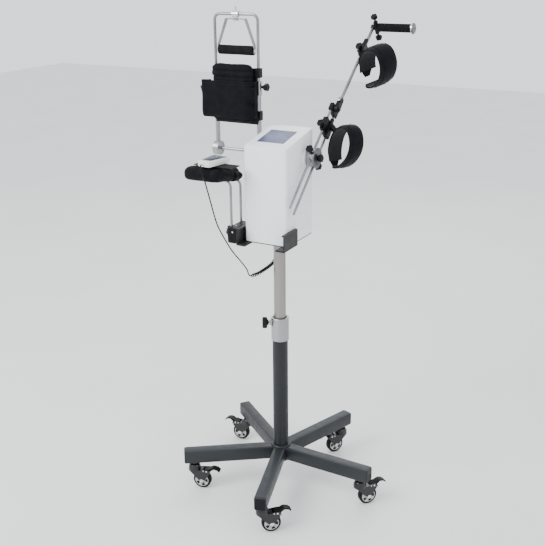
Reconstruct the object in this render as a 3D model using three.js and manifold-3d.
// A continuous passive motion machine for the shoulder and the elbow, on a five-legged wheeled stand.
// Millimetres, +Z up. The housing's front faces -Y, and the shoulder arm is on its +X side.
// Pieces are laid out from the column's axis and the floor, then the whole is moved so that
// the origin lies on the floor under the middle of the object.
import * as THREE from "three";
import { mergeVertices } from "three/addons/utils/BufferGeometryUtils.js";
import Module from "manifold-3d";

const wasm = await Module();
wasm.setup();

// Clearances shared by the whole part
const SEAT_GAP = 0.3;
const RUNNING_GAP = 0.3;
const OVERRUN = 4;
const WELD = 0.0001;

// Counts of sides and steps
const ROUND_SIDES = 20;
const TUBE_SIDES = 12;
const ROD_SIDES = 10;
const HOLE_SIDES = 8;
const NUT_SIDES = 6;
const ARC_STEPS = 3;
const BEND_STEPS = 4;
const EDGE_STEPS = 2;

// Five-legged base
const LEG_COUNT = 5;
const LEG_FIRST_ANGLE = -1.2;
const LEG_REACH = 325;
const LEG_WIDTH = 38;
const LEG_HEIGHT = 45;
const LEG_TOP = 140;
const LEG_EDGE = 4;
const LEG_ARC_STEPS = 2;
const LEG_WALL = 3;
const LEG_PLUG = 4;
const LEG_PLUG_INSET = 1;
const HUB_RADIUS = 33;
const HUB_DROP = 6;
const HUB_RISE = 5;
const HUB_FLOOR = 6;
const HUB_CHAMFER = 2;

// Column, collar and pole
const COLUMN_RADIUS = 25;
const COLUMN_WALL = 3;
const COLUMN_TOP = 554;
const COLLAR_RADIUS = 28.5;
const COLLAR_BOTTOM = 524;
const COLLAR_TOP = 602;
const COLLAR_MOUTH_RADIUS = 23;
const COLLAR_MOUTH_DEPTH = 6;
const COLLAR_CHAMFER = 1.5;
const COLLAR_BOSS_RADIUS = 9;
const COLLAR_BOSS_REACH = 34;
const COLLAR_KNOB_ANGLE = 209;
const COLLAR_KNOB_HEIGHT = 583;
const COLLAR_KNOB_START = 41;
const POLE_RADIUS = 19;
const POLE_WALL = 2.5;
const POLE_BOTTOM = 330;
const POLE_TOP = 935;
const POLE_HOLE_RADIUS = 4;
const POLE_HOLE_HEIGHT = 762;

// Casters
const CASTER_INSET = 33;
const CASTER_ANGLES = [50, 235, 185, 15, 40];
const WHEEL_RADIUS = 31;
const WHEEL_WIDTH = 22;
const WHEEL_SIDES = 20;
const WHEEL_RIM_RADIUS = 22;
const WHEEL_HUB_RADIUS = 9;
const WHEEL_DISH = 3;
const WHEEL_SHOULDER = 3;
const AXLE_RADIUS = 4;
const AXLE_HEAD_RADIUS = 6.5;
const AXLE_HEAD = 2.5;
const TRAIL = 27;
const FORK_GAP = 1.2;
const FORK_PLATE = 3;
const FORK_BACK = 15;
const FORK_BOSS_RADIUS = 9;
const CROWN_GAP = 3;
const CROWN_PLATE = 4;
const CROWN_FRONT = 30;
const EAR_REACH = 50;
const EAR_RADIUS = 8;
const EAR_HEIGHT = 64;
const EAR_HOLE_RADIUS = 2.2;
const EAR_HOLE_DROP = 3;
const EAR_HOLE_REACH = 3.5;
const DOME_RADIUS = 21;
const DOME_HEIGHT = 19;
const DOME_SKIRT = 5;
const NECK_RADIUS = 10;
const PEDAL_START = 35;
const PEDAL_LENGTH = 55;
const PEDAL_RISE = 17;
const PEDAL_WIDTH = 20;
const PEDAL_PIVOT = 45;
const PEDAL_PIVOT_HEIGHT = 67;
const PEDAL_DROP = 4;
const PEDAL_PIN_RADIUS = 2.5;
const PEDAL_BOSS_RADIUS = 5;
const PEDAL_TOP_SHARES = [[0, 0.3], [0.3, 0.62], [0.52, 0.98], [0.62, 1], [0.82, 0.86], [1, 0.4]];
const PEDAL_UNDER_SHARES = [[0.97, 0.22], [0.82, 0.6], [0.6, 0.7], [0.45, 0.3], [0.3, 0], [0, 0]];

// Housing
const HOUSING_WIDTH = 144;
const HOUSING_DEPTH = 173;
const HOUSING_BOTTOM = 871;
const HOUSING_FRONT_TOP = 1163;
const HOUSING_BACK_RISE = 36;
const HOUSING_WALL = 4;
const HOUSING_CORNER = 9;
const HOUSING_TOP_EDGE = 5;
const SCREEN_WIDTH = 90;
const SCREEN_DEPTH = 94;
const SCREEN_SHIFT = -3;
const SCREEN_CORNER = 3;
const SCREEN_RECESS = 2.4;
const SCREEN_THICKNESS = 1.4;
const BASE_PLATE = 3;
const BASE_PLATE_INSET = 0.5;
const SOCKET_WALL = 5;
const SOCKET_CAP = 3;
const TAB_FRONT = -122;
const TAB_BACK = -36;
const TAB_TOP = 916;
const TAB_DROP = 7;
const TAB_WALL = 4;
const TAB_OUTSIDE = 10;
const TAB_ROOT = 20;
const TAB_LIP = 5;

// Outputs on both sides of the housing
const AXIS_Y = 50;
const AXIS_Z = 1115;
const FLANGE_RADIUS = 36;
const FLANGE_HEIGHT = 5;
const FLANGE_CHAMFER = 1.5;
const OUTPUT_HOLE_RADIUS = 12;
const OUTPUT_SHAFT_RADIUS = 8;
const OUTPUT_SHAFT_DEPTH = 34;

// Drive unit inside the housing
const GEARBOX_WIDTH = 88;
const GEARBOX_DEPTH = 56;
const GEARBOX_HEIGHT = 62;
const GEARBOX_EDGE = 5;
const MOTOR_RADIUS = 24;
const MOTOR_LENGTH = 104;
const MOTOR_CAP_RADIUS = 15;
const MOTOR_CAP = 10;
const STAND_WALL = 4;
const STAND_DEPTH = 40;
const STAND_FOOT = 14;

// Shoulder arm
const ARM_ANGLE = 42;
const ROD_PLANE_OFFSET = 20;
const ROD_RADIUS = 4;
const ROD_PITCH = 34;
const ROD_TAIL = 194;
const ROD_REACH = 186;
const DRUM_RADIUS = 28;
const DRUM_LENGTH = 22;
const DRUM_CHAMFER = 1.5;
const DISC_RADIUS = 31;
const DISC_THICKNESS = 6;
const HUB_CAP_RADIUS = 14;
const HUB_CAP_LENGTH = 12;
const HUB_CAP_NECK = 3;
const HUB_CAP_SCREW = 12;
const HUB_KNOB_START = 38;
const KNUCKLE_BOTTOM = 166;
const KNUCKLE_TOP = 192;
const KNUCKLE_THICKNESS = 14;
const KNUCKLE_MARGIN = 8;
const KNUCKLE_EDGE = 3;
const ELBOW_ALONG = 180;
const ELBOW_SIDE = 8;
const ELBOW_PIN_RADIUS = 4;
const ELBOW_HEAD_RADIUS = 7;
const ELBOW_HEAD = 3;

// Forearm
const FOREARM_ANGLE = -2.5;
const FOREARM_OFFSET = 14;
const FOREARM_ROD_RADIUS = 5;
const FOREARM_REACH = 348;
const CLAMP_RADIUS = 12;
const CLAMP_TIP = 7.5;
const CLAMP_LENGTH = 42;
const CLAMP_THICKNESS = 13;
const CLAMP_EDGE = 1;
const CLAMP_SCREW_PLACE = 26;
const CLAMP_SCREW_RADIUS = 3;
const CLAMP_SCREW_REACH = 12.5;
const WRIST_LUG_RADIUS = 9;
const WRIST_LUG_THICKNESS = 10;
const WRIST_PIN_RADIUS = 3.5;

// Hand clamp and hand grip
const HAND_CLAMP_LEAN = -6;
const HAND_CLAMP_LENGTH = 46;
const HAND_CLAMP_DEPTH = 15;
const HAND_CLAMP_THICKNESS = 12;
const HAND_CLAMP_EDGE = 3;
const HAND_KNOB_RADIUS = 11;
const HAND_KNOB_START = 29.5;
const HAND_KNOB_DEPTH = 12;
const GRIP_ROD_RADIUS = 6;
const GRIP_FOAM_RADIUS = 13.5;
const GRIP_FOAM_LENGTH = 114;
const GRIP_FLANGE_RADIUS = 18.5;
const GRIP_FLANGE = 4;
const GRIP_CAP_RADIUS = 17;
const GRIP_CAP_TIP_RADIUS = 14.5;
const GRIP_CAP = 4;
const FOAM_ROUNDING_SHARE = 0.2;

// Cuffs on the arm and the forearm
const CUFF_WALL = 6;
const CUFF_WIDTH = 30;
const CUFF_STEPS = 28;
const CUFF_EDGE = 1.5;
const CUFF_RADIUS = 66;
const ARM_CUFF_ALONG = 112;
const ARM_CUFF_BOLT_OUT = 18;
const ARM_CUFF_BOLT_ALONG = 6.7;
const ARM_CUFF_BOLT_SIDE = -5.8;
const ARM_CUFF_TURNS = [-26.3, 27.8, -32.2];
const ARM_CUFF_GAP_ANGLE = 264;
const ARM_CUFF_GAP_SPAN = 20;
const FOREARM_CUFF_ALONG = 246;
const FOREARM_CUFF_BOLT_OUT = 1;
const FOREARM_CUFF_BOLT_ALONG = -14.7;
const FOREARM_CUFF_BOLT_SIDE = 10;
const FOREARM_CUFF_TURNS = [-16.5, 19.6, -27.4];
const FOREARM_CUFF_GAP_ANGLE = 241;
const FOREARM_CUFF_GAP_SPAN = 38;
const BOLT_STANDOFF = 18;
const BOLT_ROOT = 10;
const SADDLE_LENGTH = 46;
const SADDLE_THICKNESS = 16;
const SADDLE_MARGIN = 7;
const SADDLE_EDGE = 3;
const SADDLE_BAR_LENGTH = 70;
const SADDLE_BAR_WIDTH = 12;
const SADDLE_BAR_SHIFT = 4;
const SADDLE_BAR = 6;
const SADDLE_BAR_EDGE = 1;
const SADDLE_KNOB_SHIFT = 14;
const SADDLE_KNOB_START = 8;
const LUG_RADIUS = 9;

// Lobed knobs
const KNOB_LOBES = 5;
const KNOB_LOBE_STEPS = 3;
const KNOB_LOBE_SHARE = 0.09;
const KNOB_BEVEL = 1.5;
const KNOB_NECK_SHARE = 0.5;
const KNOB_TAPER_SHARE = 0.8;
const SMALL_KNOB_RADIUS = 12;
const SMALL_KNOB_LENGTH = 12;
const SMALL_KNOB_NECK = 5;
const SMALL_STEM_RADIUS = 3;
const LARGE_KNOB_RADIUS = 19;
const LARGE_KNOB_LENGTH = 16;
const LARGE_KNOB_NECK = 6;
const LARGE_STEM_RADIUS = 4;

// Elbow frame
const ELBOW_SHAFT_RADIUS = 5;
const FRAME_INSIDE = 94;
const FRAME_WIDTH = 149;
const PIVOT_DRUM_RADIUS = 22.7;
const PIVOT_DRUM_THICKNESS = 19;
const PIVOT_DRUM_DISH = 1.5;
const PIVOT_DRUM_RIM = 4;
const SLEEVE_RADIUS = 7;
const SLEEVE_TOP = 1330;
const SLEEVE_SEAT = 9;
const SLEEVE_COLLAR_RADIUS = 9.5;
const SLEEVE_COLLAR_LENGTH = 42;
const SLEEVE_KNOB_HEIGHT = 1313;
const SLEEVE_KNOB_START = 21;
const SLEEVE_KNOB_NECK = 8;
const SHAFT_EYE_RADIUS = 13;
const SHAFT_EYE_WIDTH = 18;
const SLIDE_RADIUS = 4.5;
const SLIDE_SHOWN = 192;
const SLIDE_TOP = SLEEVE_TOP + SLIDE_SHOWN;
const SLIDE_BOTTOM = 1202;
const SLIDE_BEND = 18;
const CARRIER_THICKNESS = 3;
const CARRIER_BOTTOM = 1200;
const CARRIER_TOP = 1368;
const CARRIER_GUIDE_WIDTH = 17;
const CARRIER_BRACKET_RISE = 13;
const CARRIER_GUIDE_HEIGHT = 28;
const CARRIER_WINDOW_WIDTH = 70;
const CARRIER_WINDOW_HEIGHT = 60;

// Forearm cushion and its wide strap
const CUSHION_WIDTH = 150;
const CUSHION_BOTTOM = 1195;
const CUSHION_TOP = 1382;
const CUSHION_DEPTH = 27;
const CUSHION_CROWN = 6;
const CUSHION_SIDES = 36;
const CUSHION_LEVEL_SHARES = [
  [0.5, 0], [0.94, 0], [0.99, 0.22], [1, 0.5], [0.985, 0.74], [0.93, 0.92], [0.8, 1], [0.5, 1],
];
const CUSHION_CORNER_SHARE = 0.16;
const CUSHION_WAIST_SHARE = 0.03;
const STRAP_BOTTOM = 1220;
const STRAP_TOP = 1330;
const STRAP_THICKNESS = 2.5;
const STRAP_GAP = 0.8;
const STRAP_WRAP = 20;
const STRAP_FOLD = 22;
const STRAP_TAIL_TOP = 14;
const STRAP_TAIL_FOOT = 5;
const STRAP_TAIL_DROP = 18;
const STRAP_TAIL_RISE = 9;
const STRAP_TAIL_SET = 0.5;

// Stirrup
const STIRRUP_HANG = 14;
const STIRRUP_TOP = SLIDE_TOP - STIRRUP_HANG;
const STIRRUP_GRIP_DROP = 90;
const STIRRUP_GRIP_HEIGHT = STIRRUP_TOP - STIRRUP_GRIP_DROP;
const STIRRUP_TOP_WIDTH = 66;
const STIRRUP_BOTTOM_WIDTH = 124;
const STIRRUP_STRIP = 3;
const STIRRUP_STRIP_WIDTH = 12;
const STIRRUP_EYE_ABOVE = 15;
const STIRRUP_EYE_BELOW = 8;
const STIRRUP_AXLE_RADIUS = 4;
const STIRRUP_NUT_RADIUS = 6;
const STIRRUP_NUT = 2;
const STIRRUP_FOAM_RADIUS = 14;
const SWIVEL_RADIUS = 9;
const SWIVEL_LENGTH = 22;
const SWIVEL_STUD_RADIUS = 4;
const SWIVEL_FOOT_RADIUS = 8;
const SWIVEL_FOOT = 4;
const WING_HEIGHT = 14;
const WING_WIDTH = 5;
const WING_THICKNESS = 3;

// Upper-arm support
const SUPPORT_BLOCK_OUTSIDE = 113;
const SUPPORT_BLOCK_BOTTOM = 868;
const SUPPORT_BLOCK_TOP = 916;
const SUPPORT_BLOCK_EDGE = 4;
const SUPPORT_TUBE_X = -105;
const SUPPORT_TUBE_FRONT = -108;
const SUPPORT_TUBE_PITCH = 56;
const SUPPORT_TUBE_RADIUS = 4;
const SUPPORT_TUBE_BOTTOM = 871;
const SUPPORT_TUBE_BEND = 18;
const SUPPORT_TUBE_END = -208;
const SUPPORT_KNOB_HEIGHT = 892;
const SUPPORT_KNOB_START = 8;
const SUPPORT_KNOB_DEPTH = 12;
const PAD_OUTSIDE = -216;
const PAD_INSIDE = -108;
const PAD_FRONT = -189;
const PAD_BACK = -34;
const PAD_BOTTOM = 1075;
const PAD_HEIGHT = 34;
const PAD_CROWN = 4;
const PAD_TILT = 8;
const PAD_BOARD = 3;
const PAD_BOARD_SINK = 1;
const PAD_BOARD_MARGIN = 8;
const PAD_STRAP_LEFT = -200;
const PAD_STRAP_RIGHT = -68;
const PAD_STRAP_FRONT = -160;
const PAD_STRAP_BACK = -112;
const PAD_STRAP_TOP = 1109.5;
const PAD_STRAP_THICKNESS = 3;

// Handset
const HANDSET_LENGTH = 92;
const HANDSET_FRONT_WIDTH = 46;
const HANDSET_BACK_WIDTH = 64;
const HANDSET_THICKNESS = 17;
const HANDSET_CORNER = 8;
const HANDSET_BEVEL = 3;
const HANDSET_X = -146;
const HANDSET_Y = -137;
const HANDSET_TURN = -6;
const HANDSET_PANEL_MARGIN = 9;
const HANDSET_PANEL_DEPTH = 0.8;
const BOOT_LENGTH = 6;
const BOOT_RADIUS = 4;
const BOOT_TIP_RADIUS = 2.5;

// Handset cord, from the handset's boot to the plug under the housing
const CORD_RADIUS = 2;
const CORD_SIDES = 6;
const CORD_STEPS = 36;
const CURL_COUNT = 29;
const CURL_OUTER_RADIUS = 6.5;
const CURL_STEPS = 8;
const CURL_SIDES = 5;
const COIL_PATH_STEPS = 200;
const PLUG_X = -20;
const PLUG_Y = 38;
const PLUG_RADIUS = 6;
const PLUG_FLANGE_RADIUS = 9;
const PLUG_FLANGE = 5;
const PLUG_BODY = 22;
const PLUG_TAIL_RADIUS = 3.5;
const PLUG_INSIDE = 5;
const LEAD_ROUTE = [
  [-151.5, -189.7, 1118.3], [-151.3, -194.5, 1116.4], [-149.6, -197, 1111], [-147.8, -197, 1104],
  [-146.8, -196.5, 1096], [-144.5, -195, 1086.5], [-139.6, -194, 1072.6], [-133.1, -190, 1041.1],
  [-128.8, -180, 1000.6], [-125.5, -170, 962.8], [-122.5, -158, 929.1], [-115.8, -146, 900.3],
  [-103.6, -135, 868], [-92.5, -128.5, 846], [-85.5, -118.5, 829], [-86, -84, 795.9],
  [-87.5, -52, 762.6], [-91.5, -37, 743.5], [-91.5, -29.7, 735.2], [-88.5, -25.5, 734.5],
];
const COIL_ROUTE = [
  [-88.28, -25.21, 734.46], [-85.2, -21.1, 734.2], [-76, -10, 737], [-58, 9, 750], [-40, 25, 768],
  [-27, 35, 794], [-21, 38, 820], [-20, 38, 834], [-20, 38, 840.4],
];

// Materials
const CHARCOAL = paint(0x43494d, 0.45, 0.35);
const STEEL = paint(0xc9ccce, 0.3, 0.9);
const SILVER = paint(0xb9bcbe, 0.4, 0.7);
const POLE_PAINT = paint(0xb4b0ab, 0.35, 0.7);
const BLACK_PLASTIC = paint(0x17181a, 0.5, 0);
const WHITE_SHELL = paint(0xf1f2f4, 0.35, 0);
const SCREEN_GLASS = paint(0x7f86a6, 0.2, 0);
const TYRE = paint(0x151515, 0.6, 0);
const FOAM = paint(0x1b1e20, 0.9, 0);
const FABRIC = paint(0x16181b, 0.95, 0);
const CORD_RUBBER = paint(0x24282a, 0.6, 0);
const MOTOR_GREY = paint(0x6b7075, 0.5, 0.5);

function paint(color, roughness, metalness) {
  return new THREE.MeshStandardMaterial({ color, roughness, metalness });
}

// Solids: joining and cutting

function solidOf(geometry) {
  const loose = geometry.index ? geometry.toNonIndexed() : geometry;
  const bare = new THREE.BufferGeometry();
  bare.setAttribute("position", loose.getAttribute("position").clone());
  const merged = mergeVertices(bare, WELD);
  const corners = merged.index.array;
  const kept = [];
  for (let i = 0; i < corners.length; i += 3) {
    const [a, b, c] = corners.slice(i, i + 3);
    if (a !== b && b !== c && c !== a) kept.push(a, b, c);
  }
  const vertProperties = merged.attributes.position.array;
  const solid = makeSolid(vertProperties, kept);
  return solid.volume() < 0 ? makeSolid(vertProperties, kept.reverse()) : solid;
}

function makeSolid(vertProperties, corners) {
  const triVerts = new Uint32Array(corners);
  return new wasm.Manifold(new wasm.Mesh({ numProp: 3, vertProperties, triVerts }));
}

function geometryOf(solid) {
  const mesh = solid.getMesh();
  const geometry = new THREE.BufferGeometry();
  const positions = new Float32Array(mesh.vertProperties);
  geometry.setAttribute("position", new THREE.BufferAttribute(positions, mesh.numProp));
  geometry.setIndex(new THREE.BufferAttribute(new Uint32Array(mesh.triVerts), 1));
  return geometry;
}

function join(...geometries) {
  return geometryOf(geometries.map(solidOf).reduce((all, one) => all.add(one)));
}

function cut(body, ...tools) {
  return geometryOf(tools.map(solidOf).reduce((left, tool) => left.subtract(tool), solidOf(body)));
}

// Basic shapes, each about the origin until it is moved

function moved(geometry, x, y, z) {
  return geometry.clone().translate(x, y, z);
}

function turned(geometry, axis, degrees) {
  const angle = THREE.MathUtils.degToRad(degrees);
  const copy = geometry.clone();
  if (axis === "x") return copy.rotateX(angle);
  if (axis === "y") return copy.rotateY(angle);
  return copy.rotateZ(angle);
}

function inFrame(geometry, group) {
  group.updateMatrix();
  return geometry.clone().applyMatrix4(group.matrix);
}

// A round bar along an axis, from one place on it to another.
function round(axis, radius, from, to, sides = ROUND_SIDES) {
  const bar = new THREE.CylinderGeometry(radius, radius, to - from, sides);
  bar.translate(0, (from + to) / 2, 0);
  return alongAxis(bar, axis);
}

// Geometry made along Y, turned to lie along the named axis.
function alongAxis(geometry, axis) {
  if (axis === "x") return geometry.rotateZ(-Math.PI / 2);
  if (axis === "z") return geometry.rotateX(Math.PI / 2);
  return geometry;
}

// A profile of [radius, place along the axis] points, spun round the axis.
function spun(axis, profile, sides = ROUND_SIDES) {
  const points = profile.map(([radius, along]) => new THREE.Vector2(radius, along));
  return geometryOf(solidOf(alongAxis(new THREE.LatheGeometry(points, sides), axis)));
}

// A tube wall between two places along an axis.
function pipe(axis, outer, inner, from, to, sides = ROUND_SIDES) {
  return spun(axis, [[inner, from], [outer, from], [outer, to], [inner, to], [inner, from]], sides);
}

// A box between two corners.
function block(low, high) {
  const size = high.map((value, i) => value - low[i]);
  const box = new THREE.BoxGeometry(...size);
  return box.translate(...low.map((value, i) => value + size[i] / 2));
}

// The outline of a rectangle with round corners; the corner at the front may stand closer in.
function roundedOutline(width, height, corner, frontWidth = width, steps = ARC_STEPS) {
  const points = [];
  const centres = [
    [width / 2 - corner, height / 2 - corner, 0],
    [corner - width / 2, height / 2 - corner, 1],
    [corner - frontWidth / 2, corner - height / 2, 2],
    [frontWidth / 2 - corner, corner - height / 2, 3],
  ];
  for (const [x, y, quarter] of centres) {
    for (let step = 0; step <= steps; step += 1) {
      const angle = ((quarter + step / steps) * Math.PI) / 2;
      points.push(new THREE.Vector2(x + corner * Math.cos(angle), y + corner * Math.sin(angle)));
    }
  }
  return new THREE.Shape(points);
}

// A plate of the given outline from z = 0 up, whose edges may be bevelled without growing it.
function slab(shape, thickness, bevel = 0, bevelSegments = 1) {
  const geometry = new THREE.ExtrudeGeometry(shape, {
    depth: thickness - 2 * bevel,
    bevelEnabled: bevel > 0,
    bevelSize: bevel,
    bevelThickness: bevel,
    bevelOffset: -bevel,
    bevelSegments,
    curveSegments: ARC_STEPS,
  });
  return geometry.translate(0, 0, bevel);
}

// A flat outline through a list of places.
function outlined(places) {
  return new THREE.Shape(places.map(([x, y]) => new THREE.Vector2(x, y)));
}

// A plate drawn in the XZ plane and centred across Y.
function uprightSlab(shape, thickness, bevel = 0) {
  return turned(moved(slab(shape, thickness, bevel), 0, 0, -thickness / 2), "x", 90);
}

function roundedBlock(width, depth, height, edge) {
  return moved(slab(roundedOutline(width, depth, edge), height, edge / 2), 0, 0, -height / 2);
}

// A path through straight runs and arcs, followed point by point.
class BentPath extends THREE.Curve {
  constructor(points) {
    super();
    this.points = points;
  }

  getPoint(share) {
    const place = Math.min(Math.max(share, 0), 1) * (this.points.length - 1);
    const at = Math.min(Math.floor(place), this.points.length - 2);
    return this.points[at].clone().lerp(this.points[at + 1], place - at);
  }

  getTangent(share) {
    const at = Math.round(share * (this.points.length - 1));
    const before = this.points[Math.max(at - 1, 0)];
    const here = this.points[at];
    const after = this.points[Math.min(at + 1, this.points.length - 1)];
    const into = here.clone().sub(before).normalize();
    const outOf = after.clone().sub(here).normalize();
    return into.add(outOf).normalize();
  }

  getUtoTmapping(share) {
    return share;
  }
}

// Points along straight runs whose corners are rounded to one bend radius.
function bend(corners, radius, steps) {
  const points = [corners[0]];
  for (let i = 1; i < corners.length - 1; i += 1) {
    const into = corners[i].clone().sub(corners[i - 1]).normalize();
    const outOf = corners[i + 1].clone().sub(corners[i]).normalize();
    const turn = into.angleTo(outOf);
    const setback = radius * Math.tan(turn / 2);
    const start = corners[i].clone().addScaledVector(into, -setback);
    const inward = outOf.clone().addScaledVector(into, -into.dot(outOf)).normalize();
    const centre = start.clone().addScaledVector(inward, radius);
    for (let step = 0; step <= steps; step += 1) {
      const angle = (turn * step) / steps;
      const point = centre.clone().addScaledVector(inward, -radius * Math.cos(angle));
      points.push(point.addScaledVector(into, radius * Math.sin(angle)));
    }
  }
  points.push(corners[corners.length - 1]);
  return points;
}

function polygon(radius, sides) {
  const points = [];
  for (let i = 0; i < sides; i += 1) {
    const angle = (2 * Math.PI * i) / sides;
    points.push(new THREE.Vector2(radius * Math.cos(angle), radius * Math.sin(angle)));
  }
  return new THREE.Shape(points);
}

function tubeAlong(points, radius, sides) {
  return new THREE.ExtrudeGeometry(polygon(radius, sides), {
    steps: points.length - 1,
    extrudePath: new BentPath(points),
  });
}

function vectors(list) {
  return list.map((point) => new THREE.Vector3(...point));
}

function piece(name, geometry, material) {
  const mesh = new THREE.Mesh(geometry, material);
  mesh.name = name;
  return mesh;
}

function groupAt(x, y, z, turnX = 0, turnY = 0, turnZ = 0) {
  const group = new THREE.Group();
  group.position.set(x, y, z);
  group.rotation.set(...[turnX, turnY, turnZ].map(THREE.MathUtils.degToRad));
  return group;
}

// A lobed clamping knob on a threaded stem: it stands along +Z, its head starting at z = 0.
function lobedKnob(radius, length, neck, stemRadius, stemLength) {
  const points = [];
  const steps = KNOB_LOBES * KNOB_LOBE_STEPS;
  for (let i = 0; i < steps; i += 1) {
    const angle = (2 * Math.PI * i) / steps;
    const reach = radius * (1 - KNOB_LOBE_SHARE + KNOB_LOBE_SHARE * Math.cos(KNOB_LOBES * angle));
    points.push(new THREE.Vector2(reach * Math.cos(angle), reach * Math.sin(angle)));
  }
  const head = slab(new THREE.Shape(points), length, KNOB_BEVEL);
  const collar = radius * KNOB_NECK_SHARE;
  const stalk = spun("z", [
    [0, -stemLength - neck],
    [stemRadius, -stemLength - neck],
    [stemRadius, -neck],
    [collar * KNOB_TAPER_SHARE, -neck],
    [collar, KNOB_BEVEL],
    [0, KNOB_BEVEL],
  ], HOLE_SIDES);
  return join(head, stalk);
}

// Base: hub, five legs, column, collar and pole

function baseStar() {
  const legBottom = LEG_TOP - LEG_HEIGHT;
  const hubBottom = legBottom - HUB_DROP;
  const hubTop = LEG_TOP + HUB_RISE;
  const hub = spun("z", [
    [0, hubBottom],
    [HUB_RADIUS - HUB_CHAMFER, hubBottom],
    [HUB_RADIUS, hubBottom + HUB_CHAMFER],
    [HUB_RADIUS, hubTop - HUB_CHAMFER],
    [HUB_RADIUS - HUB_CHAMFER, hubTop],
    [0, hubTop],
  ]);
  const tubeLength = LEG_REACH - LEG_PLUG - COLUMN_RADIUS;
  const outline = roundedOutline(LEG_HEIGHT, LEG_WIDTH, LEG_EDGE, LEG_HEIGHT, LEG_ARC_STEPS);
  const tube = moved(slab(outline, tubeLength), 0, 0, COLUMN_RADIUS);
  const plugWidth = LEG_WIDTH - 2 * LEG_PLUG_INSET;
  const plugHeight = LEG_HEIGHT - 2 * LEG_PLUG_INSET;
  const plugOutline = roundedOutline(plugHeight, plugWidth, LEG_EDGE, plugHeight, LEG_ARC_STEPS);
  const plug = slab(plugOutline, 2 * LEG_PLUG, LEG_PLUG_INSET);
  const leg = turned(join(tube, moved(plug, 0, 0, LEG_REACH - 2 * LEG_PLUG)), "y", 90);
  const hollowEnd = LEG_REACH - 2 * LEG_PLUG;
  const hollow = block(
    [COLUMN_RADIUS - LEG_WALL, LEG_WALL - LEG_WIDTH / 2, LEG_WALL - LEG_HEIGHT / 2],
    [hollowEnd, LEG_WIDTH / 2 - LEG_WALL, LEG_HEIGHT / 2 - LEG_WALL],
  );
  const legs = [];
  const hollows = [];
  for (let i = 0; i < LEG_COUNT; i += 1) {
    legs.push(moved(turned(leg, "z", legAngle(i)), 0, 0, LEG_TOP - LEG_HEIGHT / 2));
    hollows.push(moved(turned(hollow, "z", legAngle(i)), 0, 0, LEG_TOP - LEG_HEIGHT / 2));
  }
  const bore = round("z", COLUMN_RADIUS + SEAT_GAP, hubBottom + HUB_FLOOR, hubTop + OVERRUN);
  return cut(join(hub, ...legs), bore, ...hollows);
}

function legAngle(i) {
  return LEG_FIRST_ANGLE + (360 * i) / LEG_COUNT;
}

function columnTube() {
  const bottom = LEG_TOP - LEG_HEIGHT - HUB_DROP + HUB_FLOOR + SEAT_GAP;
  return pipe("z", COLUMN_RADIUS, COLUMN_RADIUS - COLUMN_WALL, bottom, COLUMN_TOP);
}

function columnCollar() {
  const shoulder = COLUMN_TOP + SEAT_GAP;
  const sleeve = COLUMN_RADIUS + SEAT_GAP;
  const guide = POLE_RADIUS + RUNNING_GAP;
  const body = spun("z", [
    [sleeve, COLLAR_BOTTOM],
    [COLLAR_RADIUS - COLLAR_CHAMFER, COLLAR_BOTTOM],
    [COLLAR_RADIUS, COLLAR_BOTTOM + COLLAR_CHAMFER],
    [COLLAR_RADIUS, COLLAR_TOP - COLLAR_CHAMFER],
    [COLLAR_RADIUS - COLLAR_CHAMFER, COLLAR_TOP],
    [COLLAR_MOUTH_RADIUS, COLLAR_TOP],
    [guide, COLLAR_TOP - COLLAR_MOUTH_DEPTH],
    [guide, shoulder],
    [sleeve, shoulder],
    [sleeve, COLLAR_BOTTOM],
  ]);
  const bossRoot = (COLUMN_RADIUS + COLLAR_RADIUS) / 2;
  const boss = round("x", COLLAR_BOSS_RADIUS, bossRoot, COLLAR_BOSS_REACH, TUBE_SIDES);
  const hole = round("x", LARGE_STEM_RADIUS + RUNNING_GAP, 0, COLLAR_BOSS_REACH + OVERRUN, ROD_SIDES);
  const [placedBoss, placedHole] = [boss, hole].map(
    (one) => moved(turned(one, "z", COLLAR_KNOB_ANGLE), 0, 0, COLLAR_KNOB_HEIGHT),
  );
  return cut(join(body, placedBoss), placedHole);
}

function collarKnob() {
  const neckStart = COLLAR_KNOB_START - LARGE_KNOB_NECK;
  const stem = neckStart - POLE_RADIUS - 2 * RUNNING_GAP;
  const knob = lobedKnob(LARGE_KNOB_RADIUS, LARGE_KNOB_LENGTH, LARGE_KNOB_NECK, LARGE_STEM_RADIUS, stem);
  const outward = moved(turned(knob, "y", 90), COLLAR_KNOB_START, 0, 0);
  return moved(turned(outward, "z", COLLAR_KNOB_ANGLE), 0, 0, COLLAR_KNOB_HEIGHT);
}

function pole() {
  const tube = pipe("z", POLE_RADIUS, POLE_RADIUS - POLE_WALL, POLE_BOTTOM, POLE_TOP);
  const hole = round("x", POLE_HOLE_RADIUS, 0, POLE_RADIUS + OVERRUN, ROD_SIDES);
  return cut(tube, moved(turned(hole, "z", COLLAR_KNOB_ANGLE), 0, 0, POLE_HOLE_HEIGHT));
}

// Casters, each drawn with its stem on the Z axis and its wheel trailing towards +X

const AXLE_HEIGHT = WHEEL_RADIUS * Math.cos(Math.PI / WHEEL_SIDES);
const FORK_INSIDE = WHEEL_WIDTH / 2 + FORK_GAP;
const FORK_OUTSIDE = FORK_INSIDE + FORK_PLATE;
const CROWN_BOTTOM = AXLE_HEIGHT + WHEEL_RADIUS + CROWN_GAP;
const CROWN_TOP = CROWN_BOTTOM + CROWN_PLATE;

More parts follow.
